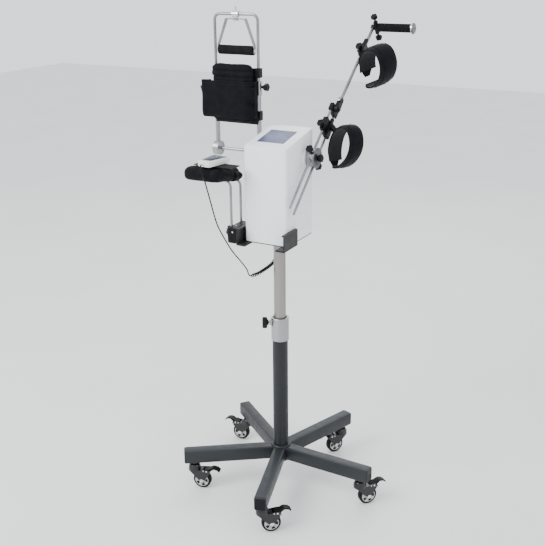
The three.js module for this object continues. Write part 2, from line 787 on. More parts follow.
function casterFork() {
  const neckTop = LEG_TOP - LEG_HEIGHT - SEAT_GAP;
  const dome = [[0, CROWN_BOTTOM], [DOME_RADIUS, CROWN_BOTTOM], [DOME_RADIUS, CROWN_TOP + DOME_SKIRT]];
  for (let step = 1; step <= ARC_STEPS; step += 1) {
    const angle = (step / ARC_STEPS) * (Math.PI / 2);
    const reach = NECK_RADIUS + (DOME_RADIUS - NECK_RADIUS) * Math.cos(angle);
    dome.push([reach, CROWN_TOP + DOME_SKIRT + (DOME_HEIGHT - DOME_SKIRT) * Math.sin(angle)]);
  }
  dome.push([NECK_RADIUS, neckTop], [0, neckTop]);
  const crown = block([-FORK_BACK, -FORK_OUTSIDE, CROWN_BOTTOM], [CROWN_FRONT, FORK_OUTSIDE, CROWN_TOP]);
  const across = FORK_OUTSIDE + AXLE_HEAD;
  const axle = moved(round("y", AXLE_RADIUS, -across, across, HOLE_SIDES), TRAIL, 0, AXLE_HEIGHT);
  const pinBar = round("y", PEDAL_PIN_RADIUS, -FORK_OUTSIDE, FORK_OUTSIDE, HOLE_SIDES);
  const pin = moved(pinBar, PEDAL_PIVOT, 0, PEDAL_PIVOT_HEIGHT);
  const parts = [spun("z", dome, TUBE_SIDES), crown, axle, pin];
  const plate = FORK_INSIDE + FORK_PLATE / 2;
  const head = round("y", AXLE_HEAD_RADIUS, plate, across, HOLE_SIDES);
  for (const side of [-1, 1]) {
    parts.push(moved(uprightSlab(forkOutline(), FORK_PLATE), 0, side * plate, 0));
    parts.push(moved(side > 0 ? head : turned(head, "z", 180), TRAIL, 0, AXLE_HEIGHT));
  }
  return join(...parts);
}

// A fork side: from the crown plate to an ear over the wheel, and down to the axle.
function forkOutline() {
  const shape = new THREE.Shape();
  shape.moveTo(-FORK_BACK, CROWN_TOP);
  shape.absarc(EAR_REACH, EAR_HEIGHT, EAR_RADIUS, Math.PI / 2, -Math.PI / 3, true);
  shape.absarc(TRAIL, AXLE_HEIGHT, FORK_BOSS_RADIUS, 0, -Math.PI, true);
  shape.lineTo(-FORK_BACK, CROWN_BOTTOM);
  const hole = new THREE.Path();
  hole.absarc(EAR_REACH + EAR_HOLE_REACH, EAR_HEIGHT - EAR_HOLE_DROP, EAR_HOLE_RADIUS, 0, 2 * Math.PI);
  shape.holes.push(hole);
  return shape;
}

function casterWheel() {
  const half = WHEEL_WIDTH / 2;
  const bore = AXLE_RADIUS + RUNNING_GAP;
  const rounding = WHEEL_SHOULDER;
  const side = [
    [bore, half],
    [WHEEL_HUB_RADIUS, half],
    [WHEEL_RIM_RADIUS, half - WHEEL_DISH],
    [WHEEL_RADIUS - rounding, half],
    [WHEEL_RADIUS, half - rounding],
  ];
  const other = side.map(([radius, along]) => [radius, -along]).reverse();
  const wheel = spun("y", [...side, ...other, side[0]], WHEEL_SIDES);
  return moved(turned(wheel, "y", 180 / WHEEL_SIDES), TRAIL, 0, AXLE_HEIGHT);
}

function casterPedal() {
  const base = PEDAL_PIVOT_HEIGHT - PEDAL_DROP;
  const places = [...PEDAL_TOP_SHARES, ...PEDAL_UNDER_SHARES].map(
    ([along, up]) => [PEDAL_START + along * PEDAL_LENGTH, base + up * PEDAL_RISE],
  );
  const tread = uprightSlab(outlined(places), PEDAL_WIDTH);
  const half = PEDAL_WIDTH / 2;
  const boss = round("y", PEDAL_BOSS_RADIUS, -half, half, ROD_SIDES);
  const reach = half + OVERRUN;
  const hole = round("y", PEDAL_PIN_RADIUS + RUNNING_GAP, -reach, reach, HOLE_SIDES);
  const atPivot = (one) => moved(one, PEDAL_PIVOT, 0, PEDAL_PIVOT_HEIGHT);
  return cut(join(tread, atPivot(boss)), atPivot(hole));
}

function casters() {
  const group = new THREE.Group();
  const fork = casterFork();
  const wheel = casterWheel();
  const pedal = casterPedal();
  for (let i = 0; i < LEG_COUNT; i += 1) {
    const leg = groupAt(0, 0, 0, 0, 0, legAngle(i));
    const caster = groupAt(LEG_REACH - CASTER_INSET, 0, 0, 0, 0, CASTER_ANGLES[i] - legAngle(i));
    caster.add(piece(`caster_fork_${i + 1}`, fork, BLACK_PLASTIC));
    caster.add(piece(`caster_wheel_${i + 1}`, wheel, TYRE));
    caster.add(piece(`brake_pedal_${i + 1}`, pedal, BLACK_PLASTIC));
    leg.add(caster);
    group.add(leg);
  }
  return group;
}

// Housing, its base plate with pole socket and side tabs, the screen and the drive unit

const HOUSING_HEIGHT = HOUSING_FRONT_TOP - HOUSING_BOTTOM;

// A rounded prism under the top, inset from the housing's outside on every side, with a top edge rounding.
function housingPrism(inset, bottom, edge) {
  const width = HOUSING_WIDTH - 2 * inset;
  const depth = HOUSING_DEPTH - 2 * inset;
  const outline = roundedOutline(width, depth, HOUSING_CORNER - inset);
  const bar = slab(outline, HOUSING_HEIGHT - inset - bottom + edge, edge, EDGE_STEPS);
  const reach = HOUSING_WIDTH + HOUSING_DEPTH;
  const below = block([-reach, -reach, bottom - edge - OVERRUN], [reach, reach, bottom]);
  return cut(moved(bar, 0, 0, bottom - edge), below);
}

// Raises what lies in the top wall along the slope, and sets the prism on the housing's bottom.
function sloped(geometry) {
  const raised = geometry.clone();
  const places = raised.getAttribute("position");
  const threshold = HOUSING_HEIGHT - HOUSING_WALL - 2 * HOUSING_TOP_EDGE;
  for (let i = 0; i < places.count; i += 1) {
    const share = (places.getY(i) + HOUSING_DEPTH / 2) / HOUSING_DEPTH;
    const lift = places.getZ(i) > threshold ? HOUSING_BACK_RISE * share : 0;
    places.setZ(i, places.getZ(i) + lift + HOUSING_BOTTOM);
  }
  return raised;
}

function screenPlate(shrink, from, to) {
  const outline = roundedOutline(SCREEN_WIDTH - 2 * shrink, SCREEN_DEPTH - 2 * shrink, SCREEN_CORNER);
  return moved(slab(outline, to - from), SCREEN_SHIFT, SCREEN_SHIFT, from);
}

function housingShell() {
  const outside = housingPrism(0, SEAT_GAP, HOUSING_TOP_EDGE);
  const inside = housingPrism(HOUSING_WALL, -OVERRUN, 0);
  const pocket = screenPlate(0, HOUSING_HEIGHT - SCREEN_RECESS, HOUSING_HEIGHT + OVERRUN);
  const shell = sloped(cut(outside, inside, pocket));
  const half = HOUSING_WIDTH / 2;
  const flange = spun("x", [
    [0, half - HOUSING_WALL / 2],
    [FLANGE_RADIUS, half - HOUSING_WALL / 2],
    [FLANGE_RADIUS, half + FLANGE_HEIGHT - FLANGE_CHAMFER],
    [FLANGE_RADIUS - FLANGE_CHAMFER, half + FLANGE_HEIGHT],
    [0, half + FLANGE_HEIGHT],
  ]);
  const flanges = [flange, turned(flange, "z", 180)].map((one) => moved(one, 0, AXIS_Y, AXIS_Z));
  const reach = half + FLANGE_HEIGHT + OVERRUN;
  const hole = moved(round("x", OUTPUT_HOLE_RADIUS, -reach, reach), 0, AXIS_Y, AXIS_Z);
  return cut(join(shell, ...flanges), hole);
}

function screenPanel() {
  const floor = HOUSING_HEIGHT - SCREEN_RECESS + SEAT_GAP;
  return sloped(screenPlate(SEAT_GAP, floor, floor + SCREEN_THICKNESS));
}

function basePlate() {
  const width = HOUSING_WIDTH - 2 * BASE_PLATE_INSET;
  const depth = HOUSING_DEPTH - 2 * BASE_PLATE_INSET;
  const bottom = HOUSING_BOTTOM - BASE_PLATE;
  const plate = moved(slab(roundedOutline(width, depth, HOUSING_CORNER), BASE_PLATE), 0, 0, bottom);
  const socketRadius = POLE_RADIUS + SOCKET_WALL;
  const socketTop = POLE_TOP + SEAT_GAP + SOCKET_CAP;
  const socket = round("z", socketRadius, bottom, socketTop);
  const bore = round("z", POLE_RADIUS + RUNNING_GAP, bottom - OVERRUN, POLE_TOP + SEAT_GAP);
  const plugHoleTop = HOUSING_BOTTOM + OVERRUN;
  const plugHole = round("z", PLUG_RADIUS + SEAT_GAP, bottom - OVERRUN, plugHoleTop, TUBE_SIDES);
  const tabs = [-1, 1].map(sideTab);
  return cut(join(plate, socket, ...tabs), bore, moved(plugHole, PLUG_X, PLUG_Y, 0));
}

// A channel hung from the base plate's side edge, with a lip turned in along its top.
function sideTab(side) {
  const outside = HOUSING_WIDTH / 2 + TAB_OUTSIDE;
  const root = HOUSING_WIDTH / 2 - TAB_ROOT;
  const bottom = HOUSING_BOTTOM - TAB_DROP;
  const shape = new THREE.Shape();
  shape.moveTo(root, HOUSING_BOTTOM - BASE_PLATE / 2);
  shape.lineTo(root, bottom);
  shape.lineTo(outside, bottom);
  shape.lineTo(outside, TAB_TOP);
  shape.lineTo(outside - TAB_WALL - TAB_LIP, TAB_TOP);
  shape.lineTo(outside - TAB_WALL - TAB_LIP, TAB_TOP - TAB_WALL);
  shape.lineTo(outside - TAB_WALL, TAB_TOP - TAB_WALL);
  shape.lineTo(outside - TAB_WALL, HOUSING_BOTTOM - BASE_PLATE / 2);
  const depth = TAB_BACK - TAB_FRONT;
  const channel = moved(uprightSlab(shape, depth), 0, (TAB_FRONT + TAB_BACK) / 2, 0);
  return side > 0 ? channel : mirrored(channel);
}

function mirrored(geometry) {
  return geometry.clone().scale(-1, 1, 1);
}

function driveUnit() {
  const gearboxBottom = AXIS_Z - GEARBOX_HEIGHT / 2;
  const gearboxShape = roundedBlock(GEARBOX_WIDTH, GEARBOX_DEPTH, GEARBOX_HEIGHT, GEARBOX_EDGE);
  const gearbox = moved(gearboxShape, 0, AXIS_Y, AXIS_Z);
  const motorBottom = gearboxBottom - MOTOR_LENGTH;
  const motor = moved(spun("z", [
    [0, motorBottom - MOTOR_CAP],
    [MOTOR_CAP_RADIUS, motorBottom - MOTOR_CAP],
    [MOTOR_CAP_RADIUS, motorBottom],
    [MOTOR_RADIUS, motorBottom],
    [MOTOR_RADIUS, gearboxBottom + OVERRUN],
    [0, gearboxBottom + OVERRUN],
  ]), 0, AXIS_Y, 0);
  const floor = HOUSING_BOTTOM + SEAT_GAP;
  const half = GEARBOX_WIDTH / 2;
  const front = AXIS_Y - STAND_DEPTH / 2;
  const back = AXIS_Y + STAND_DEPTH / 2;
  const stands = [-1, 1].map((side) => {
    const outer = side * half;
    const inner = side * (half - STAND_WALL);
    const foot = side * (half - STAND_FOOT);
    const [webLow, webHigh] = [Math.min(outer, inner), Math.max(outer, inner)];
    const [footLow, footHigh] = [Math.min(outer, foot), Math.max(outer, foot)];
    const web = block([webLow, front, floor], [webHigh, back, gearboxBottom + OVERRUN]);
    const sole = block([footLow, front, floor], [footHigh, back, floor + STAND_WALL]);
    return join(web, sole);
  });
  const boreEnd = half - OUTPUT_SHAFT_DEPTH;
  const shoulderBore = round("x", OUTPUT_SHAFT_RADIUS + RUNNING_GAP, boreEnd, half + OVERRUN);
  const elbowBore = round("x", ELBOW_SHAFT_RADIUS + RUNNING_GAP, -half - OVERRUN, -boreEnd, TUBE_SIDES);
  const bores = [shoulderBore, elbowBore].map((one) => moved(one, 0, AXIS_Y, AXIS_Z));
  return cut(join(gearbox, motor, ...stands), ...bores);
}

// Shoulder arm, drawn in a frame whose Y runs up along the twin rods and whose Z points forward off them

const OUTPUT_FACE = HOUSING_WIDTH / 2 + FLANGE_HEIGHT + RUNNING_GAP;
const ROD_PLANE = HOUSING_WIDTH / 2 + ROD_PLANE_OFFSET;
const DRUM_END = OUTPUT_FACE + DRUM_LENGTH;
const FOREARM_PLANE = ROD_PLANE + FOREARM_OFFSET;

function rodHoles(from, to) {
  return [-1, 1].map((side) => {
    const hole = round("y", ROD_RADIUS + RUNNING_GAP, from, to, ROD_SIDES);
    return moved(hole, ROD_PLANE, 0, (side * ROD_PITCH) / 2);
  });
}

function shoulderHub() {
  const inner = GEARBOX_WIDTH / 2 - OUTPUT_SHAFT_DEPTH + SEAT_GAP;
  const turnedBody = spun("x", [
    [0, inner],
    [OUTPUT_SHAFT_RADIUS, inner],
    [OUTPUT_SHAFT_RADIUS, OUTPUT_FACE],
    [DRUM_RADIUS - DRUM_CHAMFER, OUTPUT_FACE],
    [DRUM_RADIUS, OUTPUT_FACE + DRUM_CHAMFER],
    [DRUM_RADIUS, DRUM_END],
    [DISC_RADIUS - DRUM_CHAMFER, DRUM_END],
    [DISC_RADIUS, DRUM_END + DRUM_CHAMFER],
    [DISC_RADIUS, DRUM_END + DISC_THICKNESS - DRUM_CHAMFER],
    [DISC_RADIUS - DRUM_CHAMFER, DRUM_END + DISC_THICKNESS],
    [0, DRUM_END + DISC_THICKNESS],
  ]);
  const reach = DRUM_RADIUS + OVERRUN;
  const screwHole = round("z", SMALL_STEM_RADIUS + RUNNING_GAP, ROD_PITCH / 2, reach, ROD_SIDES);
  const screwHoles = [screwHole, turned(screwHole, "x", 180)].map((one) => moved(one, ROD_PLANE, 0, 0));
  const face = DRUM_END + DISC_THICKNESS;
  const capHoleEnd = face - HUB_CAP_SCREW - SEAT_GAP;
  const capHole = round("x", SMALL_STEM_RADIUS + RUNNING_GAP, capHoleEnd, face + OVERRUN, HOLE_SIDES);
  return cut(turnedBody, ...rodHoles(-reach, reach), ...screwHoles, capHole);
}

function hubEndKnob() {
  const start = DRUM_END + DISC_THICKNESS + SEAT_GAP + HUB_CAP_NECK;
  const stem = HUB_CAP_SCREW + SEAT_GAP;
  const knob = lobedKnob(HUB_CAP_RADIUS, HUB_CAP_LENGTH, HUB_CAP_NECK, SMALL_STEM_RADIUS, stem);
  return moved(turned(knob, "y", 90), start, 0, 0);
}

// A hub knob clamps its rod: its stem ends just short of the rod.
function hubKnob(side) {
  const stem = HUB_KNOB_START - SMALL_KNOB_NECK - ROD_PITCH / 2 - ROD_RADIUS - RUNNING_GAP;
  const knob = lobedKnob(SMALL_KNOB_RADIUS, SMALL_KNOB_LENGTH, SMALL_KNOB_NECK, SMALL_STEM_RADIUS, stem);
  const standing = moved(knob, 0, 0, HUB_KNOB_START);
  return moved(side > 0 ? standing : turned(standing, "x", 180), ROD_PLANE, 0, 0);
}

function armRod(side) {
  const rounding = ROD_RADIUS / 4;
  const rod = spun("y", [
    [0, -ROD_TAIL],
    [ROD_RADIUS - rounding, -ROD_TAIL],
    [ROD_RADIUS, rounding - ROD_TAIL],
    [ROD_RADIUS, ROD_REACH],
    [0, ROD_REACH],
  ], ROD_SIDES);
  return moved(rod, ROD_PLANE, 0, (side * ROD_PITCH) / 2);
}

function rodKnuckle() {
  const length = KNUCKLE_TOP - KNUCKLE_BOTTOM;
  const height = ROD_PITCH + 2 * KNUCKLE_MARGIN;
  const body = roundedBlock(KNUCKLE_THICKNESS, length, height, KNUCKLE_EDGE);
  const placed = moved(body, ROD_PLANE, KNUCKLE_BOTTOM + length / 2, 0);
  const pinEnd = FOREARM_PLANE + CLAMP_THICKNESS / 2 + RUNNING_GAP + ELBOW_HEAD;
  const pin = round("x", ELBOW_PIN_RADIUS, ROD_PLANE, pinEnd, ROD_SIDES);
  const head = round("x", ELBOW_HEAD_RADIUS, pinEnd - ELBOW_HEAD, pinEnd, ROD_SIDES);
  const spacerEnd = FOREARM_PLANE - CLAMP_THICKNESS / 2 - RUNNING_GAP;
  const spacer = round("x", ELBOW_HEAD_RADIUS, ROD_PLANE, spacerEnd, ROD_SIDES);
  const pivot = [pin, head, spacer].map((one) => moved(one, 0, ELBOW_ALONG, ELBOW_SIDE));
  const holes = rodHoles(KNUCKLE_BOTTOM - OVERRUN, ROD_REACH + SEAT_GAP);
  return cut(join(placed, ...pivot), ...holes);
}

// Forearm rod with its tapered elbow clamp and wrist lug, drawn from the elbow pivot along +Y.
function forearmRod() {
  const outline = new THREE.Shape();
  outline.absarc(0, 0, CLAMP_RADIUS, Math.PI, 2 * Math.PI, false);
  outline.lineTo(CLAMP_TIP, CLAMP_LENGTH);
  outline.lineTo(-CLAMP_TIP, CLAMP_LENGTH);
  const flatClamp = moved(slab(outline, CLAMP_THICKNESS, CLAMP_EDGE), 0, 0, -CLAMP_THICKNESS / 2);
  const clamp = turned(flatClamp, "y", 90);
  const rod = round("y", FOREARM_ROD_RADIUS, CLAMP_RADIUS, FOREARM_REACH, TUBE_SIDES);
  const lugHalf = WRIST_LUG_THICKNESS / 2;
  const lug = moved(round("x", WRIST_LUG_RADIUS, -lugHalf, lugHalf, TUBE_SIDES), 0, FOREARM_REACH, 0);
  const screwBar = round("z", CLAMP_SCREW_RADIUS, 0, CLAMP_SCREW_REACH, ROD_SIDES);
  const screw = moved(screwBar, 0, CLAMP_SCREW_PLACE, 0);
  const reach = CLAMP_THICKNESS;
  const pinHole = round("x", ELBOW_PIN_RADIUS + RUNNING_GAP, -reach, reach, ROD_SIDES);
  const wristHole = round("x", WRIST_PIN_RADIUS + RUNNING_GAP, -reach, reach, ROD_SIDES);
  return cut(join(clamp, rod, lug, screw), pinHole, moved(wristHole, 0, FOREARM_REACH, 0));
}

// Hand clamp, drawn about the wrist pin with the clamp's length along Z.
const HAND_CLAMP_INSIDE = WRIST_LUG_THICKNESS / 2 + RUNNING_GAP;
const HAND_CLAMP_MIDDLE = HAND_CLAMP_INSIDE + HAND_CLAMP_THICKNESS / 2;

function handClamp() {
  const body = roundedBlock(HAND_CLAMP_THICKNESS, HAND_CLAMP_DEPTH, HAND_CLAMP_LENGTH, HAND_CLAMP_EDGE);
  const bar = moved(body, HAND_CLAMP_MIDDLE, 0, 0);
  const pinStart = -HAND_CLAMP_INSIDE - ELBOW_HEAD;
  const pin = round("x", WRIST_PIN_RADIUS, pinStart, HAND_CLAMP_INSIDE + OVERRUN, ROD_SIDES);
  const head = round("x", ELBOW_HEAD_RADIUS, pinStart, -HAND_CLAMP_INSIDE, ROD_SIDES);
  const half = HAND_CLAMP_LENGTH / 2;
  const holeStart = half - HAND_KNOB_DEPTH;
  const hole = round("z", SMALL_STEM_RADIUS + RUNNING_GAP, holeStart, half + OVERRUN, ROD_SIDES);
  const holes = [hole, turned(hole, "x", 180)].map((one) => moved(one, HAND_CLAMP_MIDDLE, 0, 0));
  const end = HAND_CLAMP_INSIDE + HAND_CLAMP_THICKNESS;
  const socketStart = HAND_CLAMP_MIDDLE - SEAT_GAP;
  const socket = round("x", GRIP_ROD_RADIUS + RUNNING_GAP, socketStart, end + OVERRUN, TUBE_SIDES);
  return cut(join(bar, pin, head), ...holes, socket);
}

function handKnob(side) {
  const stem = HAND_KNOB_START - HAND_CLAMP_LENGTH / 2 + HAND_KNOB_DEPTH - SEAT_GAP;
  const knob = lobedKnob(HAND_KNOB_RADIUS, SMALL_KNOB_LENGTH, SMALL_KNOB_NECK, SMALL_STEM_RADIUS, stem);
  const standing = moved(knob, 0, 0, HAND_KNOB_START + SMALL_KNOB_NECK);
  return moved(side > 0 ? standing : turned(standing, "x", 180), HAND_CLAMP_MIDDLE, 0, 0);
}

const GRIP_START = HAND_CLAMP_INSIDE + HAND_CLAMP_THICKNESS + SEAT_GAP;
const GRIP_END = GRIP_START + GRIP_FOAM_LENGTH + SEAT_GAP;

function gripRod() {
  return spun("x", [
    [0, HAND_CLAMP_MIDDLE],
    [GRIP_ROD_RADIUS, HAND_CLAMP_MIDDLE],
    [GRIP_ROD_RADIUS, GRIP_END],
    [GRIP_FLANGE_RADIUS, GRIP_END],
    [GRIP_FLANGE_RADIUS, GRIP_END + GRIP_FLANGE],
    [GRIP_CAP_RADIUS, GRIP_END + GRIP_FLANGE],
    [GRIP_CAP_RADIUS, GRIP_END + GRIP_FLANGE + GRIP_CAP / 2],
    [GRIP_CAP_TIP_RADIUS, GRIP_END + GRIP_FLANGE + GRIP_CAP],
    [0, GRIP_END + GRIP_FLANGE + GRIP_CAP],
  ]);
}

function foamTube(outer, inner, from, to) {
  const rounding = (outer - inner) * FOAM_ROUNDING_SHARE;
  return spun("x", [
    [inner, from],
    [outer - rounding, from],
    [outer, from + rounding],
    [outer, to - rounding],
    [outer - rounding, to],
    [inner, to],
    [inner, from],
  ]);
}

function saddleHeight(pitch, rodRadius) {
  return pitch + 2 * (rodRadius + SADDLE_MARGIN);
}

// The level of a saddle's knob: over its bar, or on its body where the bar is at its side.
function saddleSeat(cuff, pitch, rodRadius) {
  const top = saddleHeight(pitch, rodRadius) / 2;
  return cuff.barOnTop ? top + SADDLE_BAR : top;
}

function saddleBar(cuff, plane, height) {
  const shape = roundedOutline(SADDLE_BAR_WIDTH, SADDLE_BAR_LENGTH, SADDLE_EDGE);
  const bar = slab(shape, SADDLE_BAR + SADDLE_EDGE, SADDLE_BAR_EDGE);
  if (cuff.barOnTop) return moved(bar, plane + SADDLE_BAR_SHIFT, cuff.along, height / 2 - SADDLE_EDGE);
  return moved(turned(bar, "y", 90), plane + SADDLE_THICKNESS / 2 - SADDLE_EDGE, cuff.along, 0);
}

// Cuff saddle on its rod or rods, with an oblique lug that carries the cuff's swivel bolt.
function cuffSaddle(cuff, plane, pitch, rodRadius, holes) {
  const height = saddleHeight(pitch, rodRadius);
  const body = roundedBlock(SADDLE_THICKNESS, SADDLE_LENGTH, height, SADDLE_EDGE);
  const lugEnd = BOLT_STANDOFF - SEAT_GAP;
  const lug = inFrame(round("x", LUG_RADIUS, -BOLT_ROOT, lugEnd, TUBE_SIDES), cuffFrame(cuff, plane));
  const whole = join(moved(body, plane, cuff.along, 0), saddleBar(cuff, plane, height), lug);
  const holeStart = height / 2 - SADDLE_MARGIN;
  const holeEnd = height / 2 + SADDLE_BAR + OVERRUN;
  const knobHole = round("z", SMALL_STEM_RADIUS + RUNNING_GAP, holeStart, holeEnd, ROD_SIDES);
  const placedHole = moved(knobHole, plane, cuff.along - SADDLE_KNOB_SHIFT, 0);
  const rodReach = SADDLE_BAR_LENGTH;
  return cut(whole, ...holes(cuff.along - rodReach, cuff.along + rodReach), placedHole);
}

function saddleKnob(cuff, plane, pitch, rodRadius) {
  const seat = saddleSeat(cuff, pitch, rodRadius);
  const holeDepth = seat - pitch / 2 - rodRadius;
  const stem = SADDLE_KNOB_START - SMALL_KNOB_NECK + holeDepth - RUNNING_GAP;
  const knob = lobedKnob(SMALL_KNOB_RADIUS, SMALL_KNOB_LENGTH, SMALL_KNOB_NECK, SMALL_STEM_RADIUS, stem);
  return moved(knob, plane, cuff.along - SADDLE_KNOB_SHIFT, seat + SADDLE_KNOB_START);
}

const ARM_CUFF = {
  along: ARM_CUFF_ALONG,
  barOnTop: false,
  bolt: [ARM_CUFF_BOLT_OUT, ARM_CUFF_BOLT_ALONG, ARM_CUFF_BOLT_SIDE],
  turns: ARM_CUFF_TURNS,
  gapAngle: ARM_CUFF_GAP_ANGLE,
  gapSpan: ARM_CUFF_GAP_SPAN,
};
const FOREARM_CUFF = {
  along: FOREARM_CUFF_ALONG,
  barOnTop: true,
  bolt: [FOREARM_CUFF_BOLT_OUT, FOREARM_CUFF_BOLT_ALONG, FOREARM_CUFF_BOLT_SIDE],
  turns: FOREARM_CUFF_TURNS,
  gapAngle: FOREARM_CUFF_GAP_ANGLE,
  gapSpan: FOREARM_CUFF_GAP_SPAN,
};

// A cuff's frame: X is its swivel bolt, running out from the rod, and Y is the arm's way through.
function cuffFrame(cuff, plane) {
  const [out, along, side] = cuff.bolt;
  return groupAt(plane + out, cuff.along + along, side, ...cuff.turns);
}

// A padded band bent round the arm and open on one side.
function cuffBand(cuff) {
  const centre = BOLT_STANDOFF + CUFF_RADIUS;
  const start = THREE.MathUtils.degToRad(cuff.gapAngle + cuff.gapSpan / 2);
  const sweep = THREE.MathUtils.degToRad(360 - cuff.gapSpan);
  const edge = (radius) => {
    const places = [];
    for (let step = 0; step <= CUFF_STEPS; step += 1) {
      const angle = start + (sweep * step) / CUFF_STEPS;
      places.push([centre + radius * Math.cos(angle), radius * Math.sin(angle)]);
    }
    return places;
  };
  const outside = edge(CUFF_RADIUS);
  const inside = edge(CUFF_RADIUS - CUFF_WALL).reverse();
  return uprightSlab(outlined([...outside, ...inside]), CUFF_WIDTH, CUFF_EDGE);
}

function armPieces() {
  const arm = groupAt(0, AXIS_Y, AXIS_Z, ARM_ANGLE);
  arm.add(piece("shoulder_hub", shoulderHub(), SILVER));
  arm.add(piece("hub_end_knob", hubEndKnob(), BLACK_PLASTIC));
  arm.add(piece("hub_knob_front", hubKnob(1), BLACK_PLASTIC));
  arm.add(piece("hub_knob_back", hubKnob(-1), BLACK_PLASTIC));
  arm.add(piece("arm_rod_front", armRod(1), STEEL));
  arm.add(piece("arm_rod_back", armRod(-1), STEEL));
  arm.add(piece("elbow_knuckle", rodKnuckle(), BLACK_PLASTIC));
  const saddle = cuffSaddle(ARM_CUFF, ROD_PLANE, ROD_PITCH, ROD_RADIUS, rodHoles);
  arm.add(piece("arm_cuff_saddle", saddle, BLACK_PLASTIC));
  arm.add(piece("arm_cuff_knob", saddleKnob(ARM_CUFF, ROD_PLANE, ROD_PITCH, ROD_RADIUS), BLACK_PLASTIC));
  const armCuff = cuffFrame(ARM_CUFF, ROD_PLANE);
  armCuff.add(piece("arm_cuff", cuffBand(ARM_CUFF), FABRIC));
  arm.add(armCuff);
  const forearm = groupAt(0, ELBOW_ALONG, ELBOW_SIDE, FOREARM_ANGLE);
  forearm.add(piece("forearm_rod", moved(forearmRod(), FOREARM_PLANE, 0, 0), STEEL));
  forearm.add(...forearmPieces());
  arm.add(forearm);
  return arm;
}

function forearmHoles(from, to) {
  return [moved(round("y", FOREARM_ROD_RADIUS + RUNNING_GAP, from, to, TUBE_SIDES), FOREARM_PLANE, 0, 0)];
}

function forearmPieces() {
  const saddle = cuffSaddle(FOREARM_CUFF, FOREARM_PLANE, 0, FOREARM_ROD_RADIUS, forearmHoles);
  const knob = saddleKnob(FOREARM_CUFF, FOREARM_PLANE, 0, FOREARM_ROD_RADIUS);
  const cuff = cuffFrame(FOREARM_CUFF, FOREARM_PLANE);
  cuff.add(piece("forearm_cuff", cuffBand(FOREARM_CUFF), FABRIC));
  const hand = groupAt(FOREARM_PLANE, FOREARM_REACH, 0, HAND_CLAMP_LEAN);
  hand.add(piece("hand_clamp", handClamp(), BLACK_PLASTIC));
  hand.add(piece("hand_knob_upper", handKnob(1), BLACK_PLASTIC));
  hand.add(piece("hand_knob_lower", handKnob(-1), BLACK_PLASTIC));
  hand.add(piece("grip_rod", gripRod(), STEEL));
  const foam = foamTube(GRIP_FOAM_RADIUS, GRIP_ROD_RADIUS + RUNNING_GAP, GRIP_START, GRIP_END - SEAT_GAP);
  hand.add(piece("hand_grip", foam, FOAM));
  return [
    piece("forearm_cuff_saddle", saddle, BLACK_PLASTIC),
    piece("forearm_cuff_knob", knob, BLACK_PLASTIC),
    cuff,
    hand,
  ];
}

// Elbow frame on the -X side: shaft and drum, sleeves, sliding frame, cushion, strap and stirrup

const FRAME_OUTSIDE = FRAME_INSIDE + FRAME_WIDTH;
const FRAME_MIDDLE = -(FRAME_INSIDE + FRAME_OUTSIDE) / 2;

function elbowShaft() {
  const inner = GEARBOX_WIDTH / 2 - OUTPUT_SHAFT_DEPTH + SEAT_GAP;
  const drumStart = FRAME_OUTSIDE - PIVOT_DRUM_THICKNESS / 2;
  const drumEnd = FRAME_OUTSIDE + PIVOT_DRUM_THICKNESS / 2;
  const body = spun("x", [
    [0, inner],
    [ELBOW_SHAFT_RADIUS, inner],
    [ELBOW_SHAFT_RADIUS, drumStart + PIVOT_DRUM_DISH],
    [PIVOT_DRUM_RADIUS - PIVOT_DRUM_RIM, drumStart + PIVOT_DRUM_DISH],
    [PIVOT_DRUM_RADIUS - PIVOT_DRUM_RIM, drumStart],
    [PIVOT_DRUM_RADIUS, drumStart],
    [PIVOT_DRUM_RADIUS, drumEnd],
    [0, drumEnd],
  ]);
  const placed = moved(turned(body, "z", 180), 0, AXIS_Y, AXIS_Z);
  const boreTop = AXIS_Z + PIVOT_DRUM_RADIUS + OVERRUN;
  const bore = round("z", SLEEVE_RADIUS + SEAT_GAP, AXIS_Z + SLEEVE_SEAT, boreTop, TUBE_SIDES);
  return cut(placed, moved(bore, -FRAME_OUTSIDE, AXIS_Y, 0));
}

const PLATE_FRONT = AXIS_Y - SLEEVE_RADIUS - CARRIER_THICKNESS / 2;

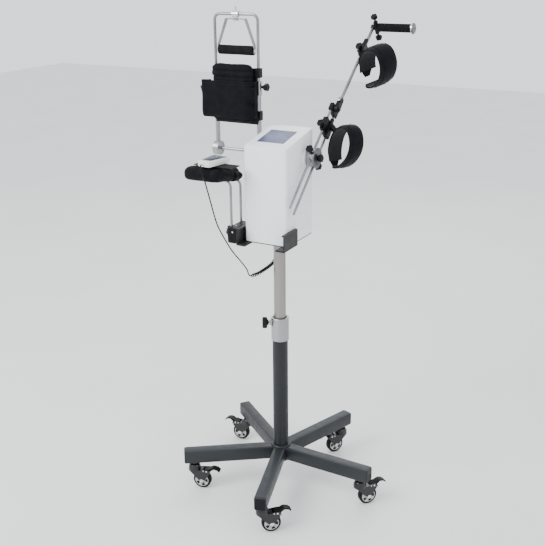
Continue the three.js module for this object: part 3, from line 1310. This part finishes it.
function sleeveFrame() {
  const sleeves = [
    round("z", SLEEVE_RADIUS, AXIS_Z + SLEEVE_SEAT + SEAT_GAP, SLEEVE_TOP, TUBE_SIDES),
    round("z", SLEEVE_RADIUS, AXIS_Z, SLEEVE_TOP, TUBE_SIDES),
  ];
  const places = [-FRAME_OUTSIDE, -FRAME_INSIDE];
  const bars = sleeves.map((one, i) => moved(one, places[i], AXIS_Y, 0));
  const eyeHalf = SHAFT_EYE_WIDTH / 2;
  const eye = moved(round("x", SHAFT_EYE_RADIUS, -eyeHalf, eyeHalf), -FRAME_INSIDE, AXIS_Y, AXIS_Z);
  const collarBottom = SLEEVE_TOP - SLEEVE_COLLAR_LENGTH;
  const collar = round("z", SLEEVE_COLLAR_RADIUS, collarBottom, SLEEVE_TOP, TUBE_SIDES);
  const plate = block(
    [-FRAME_OUTSIDE, PLATE_FRONT, CARRIER_BOTTOM],
    [-FRAME_INSIDE, PLATE_FRONT + CARRIER_THICKNESS, CARRIER_TOP],
  );
  const guideBottom = CARRIER_TOP - CARRIER_GUIDE_HEIGHT;
  const guides = places.map((x) => carrierGuide(x, guideBottom));
  const bracket = carrierGuide(-FRAME_INSIDE, CARRIER_BOTTOM + CARRIER_BRACKET_RISE);
  const whole = join(...bars, eye, moved(collar, -FRAME_INSIDE, AXIS_Y, 0), plate, ...guides, bracket);
  const boreBottom = SLIDE_BOTTOM - SEAT_GAP;
  const bore = round("z", SLIDE_RADIUS + RUNNING_GAP, boreBottom, CARRIER_TOP + OVERRUN, ROD_SIDES);
  const shaftHole = round("x", ELBOW_SHAFT_RADIUS + SEAT_GAP, -SHAFT_EYE_WIDTH, SHAFT_EYE_WIDTH);
  const knobHoleEnd = SLEEVE_COLLAR_RADIUS + OVERRUN;
  const knobHole = round("x", SMALL_STEM_RADIUS + RUNNING_GAP, 0, knobHoleEnd, ROD_SIDES);
  const windowHalf = CARRIER_WINDOW_WIDTH / 2;
  const windowMiddle = (CARRIER_BOTTOM + CARRIER_TOP) / 2;
  const window = block(
    [FRAME_MIDDLE - windowHalf, PLATE_FRONT - OVERRUN, windowMiddle - CARRIER_WINDOW_HEIGHT / 2],
    [FRAME_MIDDLE + windowHalf, AXIS_Y, windowMiddle + CARRIER_WINDOW_HEIGHT / 2],
  );
  return cut(
    whole,
    ...places.map((x) => moved(bore, x, AXIS_Y, 0)),
    moved(shaftHole, -FRAME_INSIDE, AXIS_Y, AXIS_Z),
    moved(knobHole, -FRAME_INSIDE, AXIS_Y, SLEEVE_KNOB_HEIGHT),
    window,
  );
}

// A square guide round one leg of the sliding frame, standing on the carrier plate.
function carrierGuide(x, bottom) {
  const half = CARRIER_GUIDE_WIDTH / 2;
  return block([x - half, PLATE_FRONT, bottom], [x + half, AXIS_Y + half, bottom + CARRIER_GUIDE_HEIGHT]);
}

function sleeveKnob() {
  const stem = SLEEVE_KNOB_START - SLEEVE_KNOB_NECK - SLIDE_RADIUS - RUNNING_GAP;
  const knob = lobedKnob(SMALL_KNOB_RADIUS, SMALL_KNOB_LENGTH, SLEEVE_KNOB_NECK, SMALL_STEM_RADIUS, stem);
  const outward = turned(moved(knob, 0, 0, SLEEVE_KNOB_START), "y", 90);
  return moved(outward, -FRAME_INSIDE, AXIS_Y, SLEEVE_KNOB_HEIGHT);
}

function slideFrame() {
  const corners = vectors([
    [-FRAME_OUTSIDE, AXIS_Y, SLIDE_BOTTOM],
    [-FRAME_OUTSIDE, AXIS_Y, SLIDE_TOP],
    [-FRAME_INSIDE, AXIS_Y, SLIDE_TOP],
    [-FRAME_INSIDE, AXIS_Y, SLIDE_BOTTOM],
  ]);
  return tubeAlong(bend(corners, SLIDE_BEND, BEND_STEPS), SLIDE_RADIUS, ROD_SIDES);
}

// A cushion on a flat back: crowned in front, its sides drawn in between the corners.
// It is drawn lying down, width along X, length along Y and thickness along Z.
function cushion(width, length, thickness, crown) {
  const positions = [];
  for (const [share, upShare] of CUSHION_LEVEL_SHARES) {
    const rise = upShare >= 1 ? crown * (1 - share ** 2) : 0;
    for (let i = 0; i < CUSHION_SIDES; i += 1) {
      const angle = (2 * Math.PI * i) / CUSHION_SIDES;
      const drawnIn = 1 - CUSHION_WAIST_SHARE * (1 - Math.abs(Math.sin(2 * angle)));
      const x = (width / 2) * share * drawnIn * squared(Math.cos(angle));
      const y = (length / 2) * share * drawnIn * squared(Math.sin(angle));
      positions.push(x, y, thickness * upShare + rise);
    }
  }
  const top = [0, 0, thickness + crown];
  return closedRings(positions, CUSHION_LEVEL_SHARES.length, CUSHION_SIDES, [0, 0, 0], top);
}

// Draws a circle's cosine or sine out towards a square with round corners.
function squared(value) {
  return Math.sign(value) * Math.abs(value) ** (2 * CUSHION_CORNER_SHARE);
}

// A closed surface through rings of points, with a middle point at each end.
function closedRings(positions, rings, around, first, last) {
  const points = [...positions, ...first, ...last];
  const start = rings * around;
  const corners = [];
  for (let ring = 0; ring < rings - 1; ring += 1) {
    for (let i = 0; i < around; i += 1) {
      const a = ring * around + i;
      const b = ring * around + ((i + 1) % around);
      corners.push(a, b, b + around, a, b + around, a + around);
    }
  }
  for (let i = 0; i < around; i += 1) {
    const next = (i + 1) % around;
    const top = (rings - 1) * around;
    corners.push(start, next, i);
    corners.push(start + 1, top + i, top + next);
  }
  const geometry = new THREE.BufferGeometry();
  geometry.setAttribute("position", new THREE.BufferAttribute(new Float32Array(points), 3));
  geometry.setIndex(corners);
  return geometryOf(solidOf(geometry));
}

const CUSHION_BACK = PLATE_FRONT - SEAT_GAP;

function forearmCushion() {
  const length = CUSHION_TOP - CUSHION_BOTTOM;
  const lying = cushion(CUSHION_WIDTH, length, CUSHION_DEPTH, CUSHION_CROWN);
  return moved(turned(lying, "x", 90), FRAME_MIDDLE, CUSHION_BACK, (CUSHION_TOP + CUSHION_BOTTOM) / 2);
}

// The strap: a band round the cushion's front and sides, folded past its left edge,
// with a slanted tail behind the fold.
function cushionStrap() {
  const half = CUSHION_WIDTH / 2 + STRAP_GAP;
  const front = CUSHION_BACK - CUSHION_DEPTH - CUSHION_CROWN - STRAP_GAP;
  const side = CUSHION_BACK - STRAP_GAP;
  const left = FRAME_MIDDLE - half;
  const right = FRAME_MIDDLE + half;
  const fold = left - STRAP_FOLD;
  const band = slab(outlined([
    [right + STRAP_THICKNESS, side],
    [right + STRAP_THICKNESS, front],
    [right, front - STRAP_THICKNESS],
    [fold, front - STRAP_THICKNESS],
    [fold - STRAP_THICKNESS, front],
    [fold, front + STRAP_THICKNESS],
    [left - STRAP_THICKNESS, front + STRAP_THICKNESS],
    [left - STRAP_THICKNESS, side - STRAP_WRAP],
    [left, side - STRAP_WRAP],
    [left, front],
    [right, front],
    [right, side],
  ]), STRAP_TOP - STRAP_BOTTOM);
  const tailEnd = left - STRAP_THICKNESS / 2;
  const tailTop = STRAP_TOP - STRAP_TAIL_DROP;
  const tailBottom = STRAP_BOTTOM + STRAP_TAIL_RISE;
  const tail = uprightSlab(outlined([
    [tailEnd, tailBottom],
    [fold + STRAP_TAIL_FOOT, tailBottom],
    [fold - STRAP_TAIL_TOP, tailTop],
    [fold, tailTop],
    [fold, STRAP_TOP - STRAP_THICKNESS],
    [tailEnd, STRAP_TOP - STRAP_THICKNESS],
  ]), STRAP_THICKNESS);
  const tailPlace = front + STRAP_THICKNESS + STRAP_TAIL_SET;
  return join(moved(band, 0, 0, STRAP_BOTTOM), moved(tail, 0, tailPlace, 0));
}

function stirrupClamp() {
  const half = SWIVEL_LENGTH / 2;
  const barrel = moved(round("x", SWIVEL_RADIUS, -half, half, TUBE_SIDES), 0, 0, SLIDE_TOP);
  const inside = SLIDE_TOP - (SWIVEL_RADIUS + SLIDE_RADIUS) / 2;
  const seat = STIRRUP_TOP + STIRRUP_STRIP / 2 + SEAT_GAP;
  const below = STIRRUP_TOP - STIRRUP_STRIP / 2 - SEAT_GAP;
  const foot = round("z", SWIVEL_FOOT_RADIUS, seat, inside, TUBE_SIDES);
  const stud = round("z", SWIVEL_STUD_RADIUS, below - SWIVEL_FOOT / 2, inside, ROD_SIDES);
  const nut = round("z", SWIVEL_FOOT_RADIUS, below - SWIVEL_FOOT, below, TUBE_SIDES);
  const wing = block(
    [-WING_WIDTH / 2, -WING_THICKNESS / 2, SLIDE_TOP + (SWIVEL_RADIUS + SLIDE_RADIUS) / 2],
    [WING_WIDTH / 2, WING_THICKNESS / 2, SLIDE_TOP + SWIVEL_RADIUS + WING_HEIGHT],
  );
  const bore = round("x", SLIDE_RADIUS + SEAT_GAP, -half - OVERRUN, half + OVERRUN, ROD_SIDES);
  const whole = join(barrel, foot, stud, nut, wing);
  return moved(cut(whole, moved(bore, 0, 0, SLIDE_TOP)), FRAME_MIDDLE, AXIS_Y, 0);
}

// A flat strip bent to a trapezium, open at the bottom where the grip's axle crosses it.
function stirrup() {
  const top = STIRRUP_TOP_WIDTH / 2;
  const bottom = STIRRUP_BOTTOM_WIDTH / 2;
  const half = STIRRUP_STRIP / 2;
  const high = STIRRUP_GRIP_HEIGHT + STIRRUP_EYE_ABOVE;
  const low = STIRRUP_GRIP_HEIGHT - STIRRUP_EYE_BELOW;
  const strip = uprightSlab(outlined([
    [-top - half, STIRRUP_TOP + half],
    [top + half, STIRRUP_TOP + half],
    [bottom + half, high],
    [bottom + half, low],
    [bottom - half, low],
    [bottom - half, high],
    [top - half, STIRRUP_TOP - half],
    [half - top, STIRRUP_TOP - half],
    [half - bottom, high],
    [half - bottom, low],
    [-bottom - half, low],
    [-bottom - half, high],
  ]), STIRRUP_STRIP_WIDTH);
  const reach = bottom + half + STIRRUP_NUT;
  const axle = round("x", STIRRUP_AXLE_RADIUS, -reach, reach, ROD_SIDES);
  const nuts = [-1, 1].map((side) => {
    const from = side > 0 ? bottom : -reach;
    return round("x", STIRRUP_NUT_RADIUS, from, from + half + STIRRUP_NUT, NUT_SIDES);
  });
  const fastenings = [axle, ...nuts].map((one) => moved(one, 0, 0, STIRRUP_GRIP_HEIGHT));
  const hole = round("z", SWIVEL_STUD_RADIUS + RUNNING_GAP, -OVERRUN, OVERRUN, ROD_SIDES);
  return moved(cut(join(strip, ...fastenings), moved(hole, 0, 0, STIRRUP_TOP)), FRAME_MIDDLE, AXIS_Y, 0);
}

function stirrupGrip() {
  const half = STIRRUP_BOTTOM_WIDTH / 2 - STIRRUP_STRIP / 2 - SEAT_GAP;
  const foam = foamTube(STIRRUP_FOAM_RADIUS, STIRRUP_AXLE_RADIUS + RUNNING_GAP, -half, half);
  return moved(foam, FRAME_MIDDLE, AXIS_Y, STIRRUP_GRIP_HEIGHT);
}

// Upper-arm support: clamp block on the left tab, bent tubes with a board, pad

const SUPPORT_BLOCK_INSIDE = HOUSING_WIDTH / 2 + TAB_OUTSIDE + SEAT_GAP;
const SUPPORT_TUBE_DROP = SEAT_GAP + PAD_BOARD + SUPPORT_TUBE_RADIUS;
const SUPPORT_MIDDLE = SUPPORT_TUBE_FRONT + SUPPORT_TUBE_PITCH / 2;
const SUPPORT_TUBE_PLACES = [SUPPORT_TUBE_FRONT, SUPPORT_TUBE_FRONT + SUPPORT_TUBE_PITCH];

function supportClamp() {
  const width = SUPPORT_BLOCK_OUTSIDE - SUPPORT_BLOCK_INSIDE;
  const height = SUPPORT_BLOCK_TOP - SUPPORT_BLOCK_BOTTOM;
  const shape = roundedBlock(width, TAB_BACK - TAB_FRONT, height, SUPPORT_BLOCK_EDGE);
  const middleX = -(SUPPORT_BLOCK_OUTSIDE + SUPPORT_BLOCK_INSIDE) / 2;
  const middleZ = (SUPPORT_BLOCK_TOP + SUPPORT_BLOCK_BOTTOM) / 2;
  const body = moved(shape, middleX, (TAB_FRONT + TAB_BACK) / 2, middleZ);
  const holeTop = SUPPORT_BLOCK_TOP + OVERRUN;
  const holeBottom = SUPPORT_TUBE_BOTTOM - SEAT_GAP;
  const hole = round("z", SUPPORT_TUBE_RADIUS + RUNNING_GAP, holeBottom, holeTop, ROD_SIDES);
  const holes = SUPPORT_TUBE_PLACES.map((y) => moved(hole, SUPPORT_TUBE_X, y, 0));
  const knobHole = round("x", SMALL_STEM_RADIUS + RUNNING_GAP, -OVERRUN, SUPPORT_KNOB_DEPTH, ROD_SIDES);
  return cut(body, ...holes, moved(knobHole, -SUPPORT_BLOCK_OUTSIDE, SUPPORT_MIDDLE, SUPPORT_KNOB_HEIGHT));
}

function supportKnob() {
  const stem = SUPPORT_KNOB_START - SMALL_KNOB_NECK + SUPPORT_KNOB_DEPTH - SEAT_GAP;
  const knob = lobedKnob(LARGE_KNOB_RADIUS, SMALL_KNOB_LENGTH, SMALL_KNOB_NECK, SMALL_STEM_RADIUS, stem);
  const outward = turned(moved(knob, 0, 0, SUPPORT_KNOB_START), "y", -90);
  return moved(outward, -SUPPORT_BLOCK_OUTSIDE, SUPPORT_MIDDLE, SUPPORT_KNOB_HEIGHT);
}

// The pad's frame: its origin is on the pad's lower front edge, and its back leans down.
const PAD_FRAME = groupAt(0, PAD_FRONT, PAD_BOTTOM, -PAD_TILT);

// The height of a support tube's level run under the leaning pad.
function tubeLevel(y) {
  const lean = (y - PAD_FRONT) * Math.tan(THREE.MathUtils.degToRad(PAD_TILT));
  return PAD_BOTTOM - SUPPORT_TUBE_DROP - lean;
}

function supportTubes() {
  const tubes = SUPPORT_TUBE_PLACES.map((y) => {
    const corners = vectors([
      [SUPPORT_TUBE_X, y, SUPPORT_TUBE_BOTTOM],
      [SUPPORT_TUBE_X, y, tubeLevel(y)],
      [SUPPORT_TUBE_END, y, tubeLevel(y)],
    ]);
    return tubeAlong(bend(corners, SUPPORT_TUBE_BEND, BEND_STEPS), SUPPORT_TUBE_RADIUS, ROD_SIDES);
  });
  const [front, back] = SUPPORT_TUBE_PLACES;
  const boardBottom = -SEAT_GAP - PAD_BOARD - PAD_BOARD_SINK;
  const board = block(
    [PAD_OUTSIDE + PAD_BOARD_MARGIN, front - PAD_FRONT - PAD_BOARD_MARGIN, boardBottom],
    [PAD_INSIDE - PAD_BOARD_MARGIN, back - PAD_FRONT + PAD_BOARD_MARGIN, -SEAT_GAP],
  );
  return join(...tubes, inFrame(board, PAD_FRAME));
}

// The leaning pad with a level strap laid over it, whose free end stands out past the pad.
function armPad() {
  const width = PAD_INSIDE - PAD_OUTSIDE;
  const length = PAD_BACK - PAD_FRONT;
  const lying = cushion(width, length, PAD_HEIGHT, PAD_CROWN);
  const leaning = inFrame(moved(lying, (PAD_INSIDE + PAD_OUTSIDE) / 2, length / 2, 0), PAD_FRAME);
  const strap = block(
    [PAD_STRAP_LEFT, PAD_STRAP_FRONT, PAD_STRAP_TOP - PAD_STRAP_THICKNESS],
    [PAD_STRAP_RIGHT, PAD_STRAP_BACK, PAD_STRAP_TOP],
  );
  return join(leaning, strap);
}

// Handset with its cord boot, drawn lying flat with its cord end towards -Y

function handset() {
  const outline = roundedOutline(HANDSET_BACK_WIDTH, HANDSET_LENGTH, HANDSET_CORNER, HANDSET_FRONT_WIDTH);
  const body = slab(outline, HANDSET_THICKNESS, HANDSET_BEVEL, EDGE_STEPS);
  const margin = 2 * HANDSET_PANEL_MARGIN;
  const panelLength = HANDSET_LENGTH - margin;
  const frontWidth = HANDSET_FRONT_WIDTH - margin;
  const panel = roundedOutline(HANDSET_BACK_WIDTH - margin, panelLength, HANDSET_CORNER / 2, frontWidth);
  const recess = moved(slab(panel, OVERRUN), 0, 0, HANDSET_THICKNESS - HANDSET_PANEL_DEPTH);
  const end = -HANDSET_LENGTH / 2;
  const boot = spun("y", [
    [0, end - BOOT_LENGTH],
    [BOOT_TIP_RADIUS, end - BOOT_LENGTH],
    [BOOT_RADIUS, end],
    [BOOT_RADIUS, end + HANDSET_BEVEL * 2],
    [0, end + HANDSET_BEVEL * 2],
  ], ROD_SIDES);
  const whole = cut(join(body, moved(boot, 0, 0, HANDSET_THICKNESS / 2)), recess);
  return moved(turned(whole, "z", HANDSET_TURN), HANDSET_X, HANDSET_Y, PAD_STRAP_TOP + SEAT_GAP);
}

// Cord: the hanging lead, the curly stretch and the plug

function cordLead() {
  const curve = new THREE.CatmullRomCurve3(vectors(LEAD_ROUTE), false, "centripetal");
  const section = polygon(CORD_RADIUS, CORD_SIDES);
  return new THREE.ExtrudeGeometry(section, { steps: CORD_STEPS, extrudePath: curve });
}

// Places along the coil's path, each with two directions square to it that don't twist.
function coilStations(curve, count) {
  const stations = [];
  let side = new THREE.Vector3(0, 0, 1);
  for (let i = 0; i <= count; i += 1) {
    const point = curve.getPointAt(i / count);
    const along = curve.getTangentAt(i / count);
    side = side.clone().addScaledVector(along, -side.dot(along)).normalize();
    stations.push({ point, along, side, across: new THREE.Vector3().crossVectors(along, side) });
  }
  return stations;
}

// The curly stretch's centre line: straight for one cord diameter at each end, curled between.
function curlCentres() {
  const curve = new THREE.CatmullRomCurve3(vectors(COIL_ROUTE), false, "centripetal");
  const length = curve.getLength();
  const straight = (2 * CORD_RADIUS) / length;
  const steps = CURL_COUNT * CURL_STEPS;
  const stations = coilStations(curve, COIL_PATH_STEPS);
  const centres = [];
  const reach = CURL_OUTER_RADIUS - CORD_RADIUS;
  for (let i = 0; i <= steps; i += 1) {
    const share = straight + ((1 - 2 * straight) * i) / steps;
    const station = stations[Math.round(share * COIL_PATH_STEPS)];
    const point = curve.getPointAt(share);
    const grown = Math.min(1, (2 * i) / CURL_STEPS, (2 * (steps - i)) / CURL_STEPS);
    const angle = (2 * Math.PI * i) / CURL_STEPS;
    point.addScaledVector(station.side, reach * grown * Math.cos(angle));
    point.addScaledVector(station.across, reach * grown * Math.sin(angle));
    centres.push(point);
  }
  return [curve.getPointAt(0), ...centres, curve.getPointAt(1)];
}

// The least gap between the curled tube's surface and itself, measured between its centre points.
function leastCurlGap(centres) {
  let least = Infinity;
  for (let i = 0; i < centres.length; i += 1) {
    for (let j = i + CURL_STEPS / 2; j < Math.min(centres.length, i + 2 * CURL_STEPS); j += 1) {
      least = Math.min(least, centres[i].distanceTo(centres[j]) - 2 * CORD_RADIUS);
    }
  }
  return least;
}

function cordCoil() {
  const centres = curlCentres();
  console.log(`least gap between curls ${leastCurlGap(centres).toFixed(2)} mm`);
  const positions = [];
  let side = new THREE.Vector3(0, 0, 1);
  const path = new BentPath(centres);
  centres.forEach((centre, i) => {
    const along = path.getTangent(i / (centres.length - 1));
    side = side.clone().addScaledVector(along, -side.dot(along)).normalize();
    const across = new THREE.Vector3().crossVectors(along, side);
    for (let k = 0; k < CURL_SIDES; k += 1) {
      const angle = (2 * Math.PI * k) / CURL_SIDES;
      const point = centre.clone().addScaledVector(side, CORD_RADIUS * Math.cos(angle));
      point.addScaledVector(across, CORD_RADIUS * Math.sin(angle));
      positions.push(point.x, point.y, point.z);
    }
  });
  const first = centres[0].toArray();
  const last = centres[centres.length - 1].toArray();
  return closedRings(positions, centres.length, CURL_SIDES, first, last);
}

function cordPlug() {
  const bottom = HOUSING_BOTTOM - BASE_PLATE;
  const flangeTop = bottom - SEAT_GAP;
  const tail = flangeTop - PLUG_FLANGE - PLUG_BODY;
  const plug = spun("z", [
    [0, tail],
    [PLUG_TAIL_RADIUS, tail],
    [PLUG_RADIUS, flangeTop - PLUG_FLANGE - PLUG_BODY / 2],
    [PLUG_RADIUS, flangeTop - PLUG_FLANGE],
    [PLUG_FLANGE_RADIUS, flangeTop - PLUG_FLANGE],
    [PLUG_FLANGE_RADIUS, flangeTop],
    [PLUG_RADIUS, flangeTop],
    [PLUG_RADIUS, HOUSING_BOTTOM + PLUG_INSIDE],
    [0, HOUSING_BOTTOM + PLUG_INSIDE],
  ], TUBE_SIDES);
  return moved(plug, PLUG_X, PLUG_Y, 0);
}

const machine = new THREE.Group();
machine.add(
  piece("base_star", baseStar(), CHARCOAL),
  piece("column_tube", columnTube(), CHARCOAL),
  piece("column_collar", columnCollar(), SILVER),
  piece("collar_knob", collarKnob(), BLACK_PLASTIC),
  piece("pole", pole(), POLE_PAINT),
  casters(),
  piece("housing_shell", housingShell(), WHITE_SHELL),
  piece("base_plate", basePlate(), BLACK_PLASTIC),
  piece("screen_panel", screenPanel(), SCREEN_GLASS),
  piece("drive_unit", driveUnit(), MOTOR_GREY),
  armPieces(),
  piece("elbow_shaft", elbowShaft(), SILVER),
  piece("sleeve_frame", sleeveFrame(), SILVER),
  piece("sleeve_knob", sleeveKnob(), BLACK_PLASTIC),
  piece("slide_frame", slideFrame(), STEEL),
  piece("forearm_cushion", forearmCushion(), FABRIC),
  piece("cushion_strap", cushionStrap(), FABRIC),
  piece("stirrup_clamp", stirrupClamp(), STEEL),
  piece("stirrup", stirrup(), STEEL),
  piece("stirrup_grip", stirrupGrip(), FOAM),
  piece("support_clamp", supportClamp(), BLACK_PLASTIC),
  piece("support_knob", supportKnob(), BLACK_PLASTIC),
  piece("support_tubes", supportTubes(), STEEL),
  piece("arm_pad", armPad(), FABRIC),
  piece("handset", handset(), WHITE_SHELL),
  piece("cord_lead", cordLead(), CORD_RUBBER),
  piece("cord_coil", cordCoil(), CORD_RUBBER),
  piece("cord_plug", cordPlug(), BLACK_PLASTIC),
);

// The origin goes to the floor under the middle of the object.
const middle = new THREE.Box3().setFromObject(machine).getCenter(new THREE.Vector3());
machine.position.set(-middle.x, -middle.y, 0);

export default machine;
